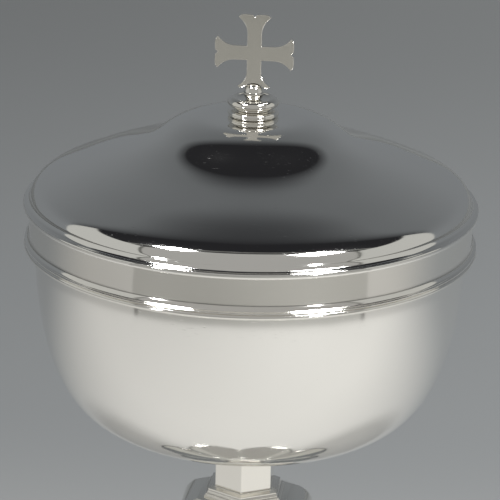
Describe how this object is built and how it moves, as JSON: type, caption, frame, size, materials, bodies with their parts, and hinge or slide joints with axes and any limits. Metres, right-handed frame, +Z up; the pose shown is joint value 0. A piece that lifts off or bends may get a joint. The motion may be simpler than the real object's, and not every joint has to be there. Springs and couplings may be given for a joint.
{
  "type": "covered altar cup",
  "caption": "Covered cup with a round bowl on a slim hexagonal stem with a cushion knop, a lobed spreading foot and a lift-off domed cover with a cross finial.",
  "frame": {"origin": "centre of the foot's footprint, on the plane that the foot rests on", "axes": "+Z up the stem to the cross, -Y to the front, where the cross shows its face and the stem an arris, +X to the right seen from the front"},
  "size_m": [0.14, 0.128, 0.2399],
  "materials": {
    "silver": "mirror polished, finely scratched",
    "hidden_metal": "turned, unpolished"
  },
  "bodies": {
    "base": {"foot_flange": "silver", "foot_gallery": "silver", "foot_shell": "silver", "foot_collar": "silver", "lower_stem": "silver", "lower_knop_collar": "silver", "knop_lower": "silver", "knop_upper": "silver", "upper_knop_collar": "silver", "neck": "silver", "bowl": "silver", "bowl_rim_wire": "silver", "bowl_boss": "hidden_metal", "tie_rod": "hidden_metal", "tie_washer": "hidden_metal", "tie_nut": "hidden_metal"},
    "cover": {"cover_dome": "silver", "cover_band": "silver", "cover_bezel": "silver", "finial_base_bead": "silver", "finial_ring": "silver", "finial_cap": "silver", "finial_ball": "silver", "finial_cross": "silver", "finial_stud": "hidden_metal", "finial_washer": "hidden_metal", "finial_nut": "hidden_metal"}
  },
  "joints": [
    {"name": "cover_lift", "type": "slide", "parent": "base", "child": "cover", "axis": [0, 0, 1], "range_m": [0, 0.05]}
  ]
}
